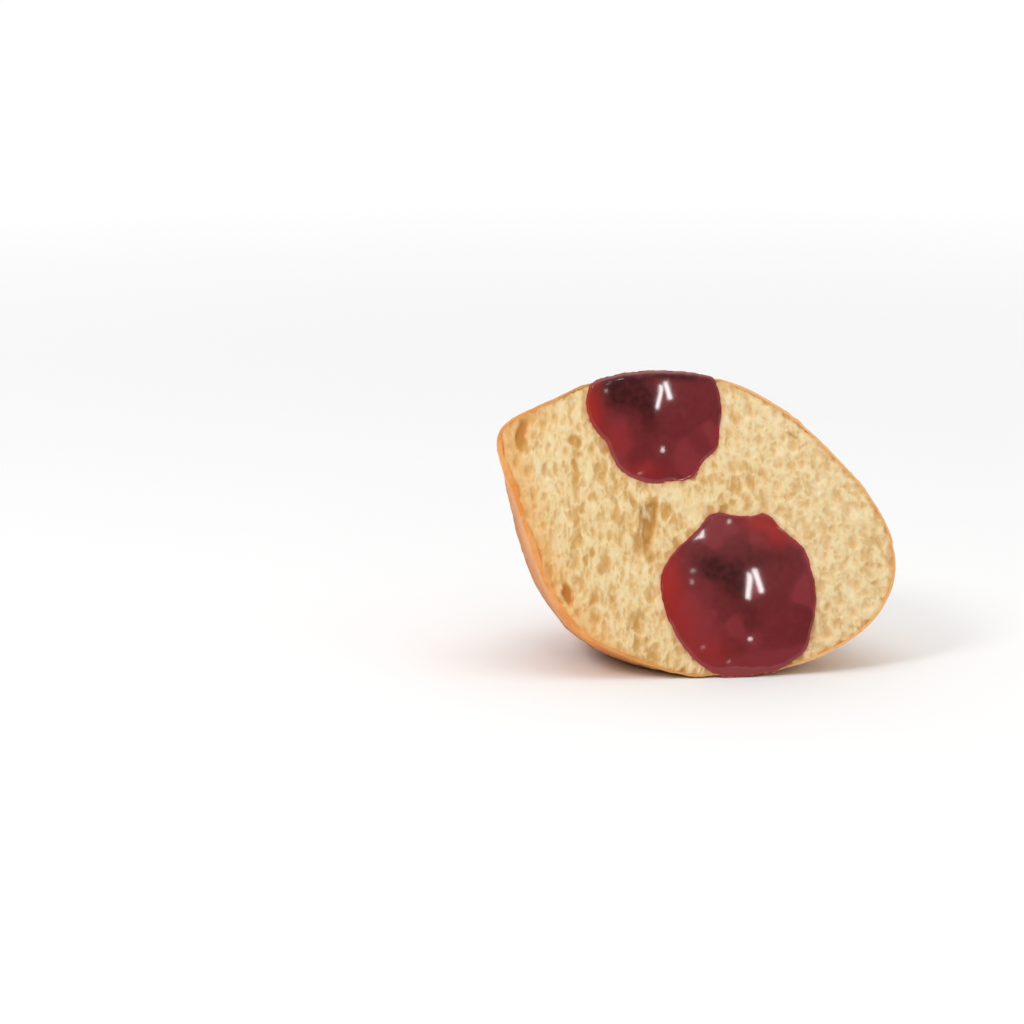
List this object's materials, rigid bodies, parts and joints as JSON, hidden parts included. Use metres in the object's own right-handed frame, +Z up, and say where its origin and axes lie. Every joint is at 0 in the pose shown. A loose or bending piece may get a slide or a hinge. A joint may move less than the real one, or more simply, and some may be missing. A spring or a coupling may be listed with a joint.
{
  "type": "cut half of a jelly filled doughnut",
  "caption": "Half of a round filled doughnut standing on its edge, with a pale crumb at the cut, a brown crust behind it and dark red jelly in two pockets.",
  "frame": {"origin": "middle of the object's box at the height of the table it stands on", "axes": "+Z is up, +X runs to the right along the cut face, and the cut face looks towards -Y and leans back"},
  "size_m": [0.0746, 0.0484, 0.0556],
  "materials": {
    "dough": "airy pale yellow crumb at the cut, golden to brown fried crust outside with a pale belt",
    "jelly": "wet, glossy dark red fruit jelly"
  },
  "bodies": {
    "root": {"dough": "dough", "jelly_upper": "jelly", "jelly_lower": "jelly"}
  },
  "joints": []
}
